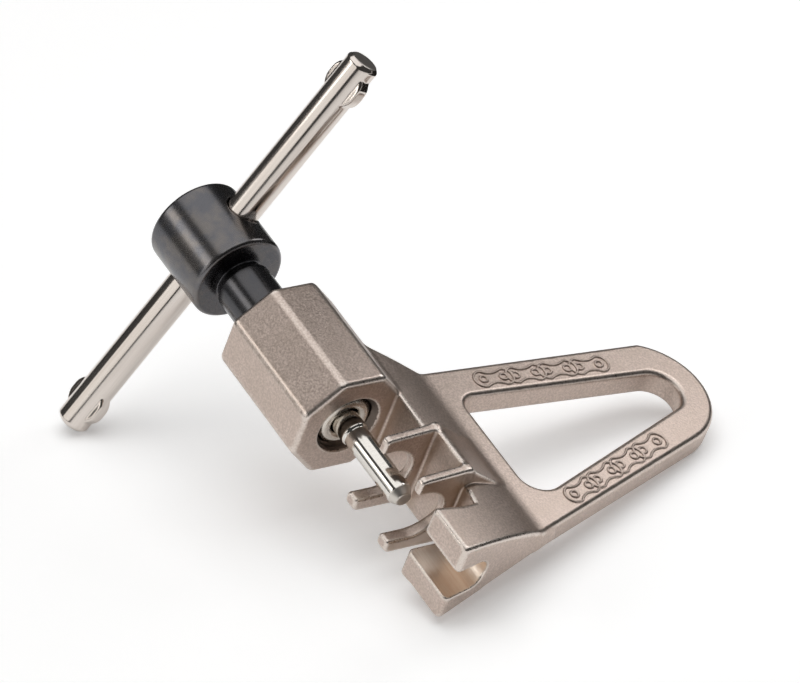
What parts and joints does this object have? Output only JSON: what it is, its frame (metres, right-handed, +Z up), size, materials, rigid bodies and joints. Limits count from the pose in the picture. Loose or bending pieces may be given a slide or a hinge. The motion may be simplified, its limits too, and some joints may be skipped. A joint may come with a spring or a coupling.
{
  "type": "bicycle chain tool",
  "caption": "Compact T-handled bicycle chain tool: cast frame with cradles and a loop handle, and a drive screw with a sliding T-bar that pushes out chain rivets.",
  "frame": {"origin": "the middle of the bounding box's underside, on the surface that the tool lies on", "axes": "+Z up; +X along the drive screw as seen from above, from its T-handle to the chain cradles; +Y towards the loop handle. The tool lies on its T-bar's lower end, the foot of its end block and the round end of its loop, so the screw points 17.8 degrees below +X"},
  "size_m": [0.0744, 0.0746, 0.054],
  "materials": {
    "cast_nickel": "satin nickel plate over a fine-grained steel casting",
    "black_oxide": "glossy black oxide on turned steel",
    "bright_steel": "polished and nickel plated",
    "hard_steel": "ground and polished",
    "spring_steel": "bare spring wire"
  },
  "bodies": {
    "frame": {"cast_frame": "cast_nickel"},
    "pin": {"drive_pin": "hard_steel", "retaining_ring": "spring_steel"},
    "screw": {"drive_screw": "black_oxide"},
    "t_bar": {"t_bar": "bright_steel"}
  },
  "joints": [
    {"name": "pin_feed", "type": "slide", "parent": "frame", "child": "pin", "axis": [0.9522, 0, -0.3053], "range_m": [-0.0091, 0.0075]},
    {"name": "screw_turn", "type": "hinge", "parent": "pin", "child": "screw", "pos_m": [0.00692, -0.01646, 0.01582], "axis": [0.9522, 0, -0.3053], "range_deg": [-3060, 2520]},
    {"name": "t_bar_slide", "type": "slide", "parent": "screw", "child": "t_bar", "axis": [0.2479, 0.584, 0.773], "range_m": [-0.0195, 0.0193]}
  ],
  "couplings": [
    {"joint": "pin_feed", "follows": "screw_turn", "m_per_rad": 0.00016844}
  ]
}
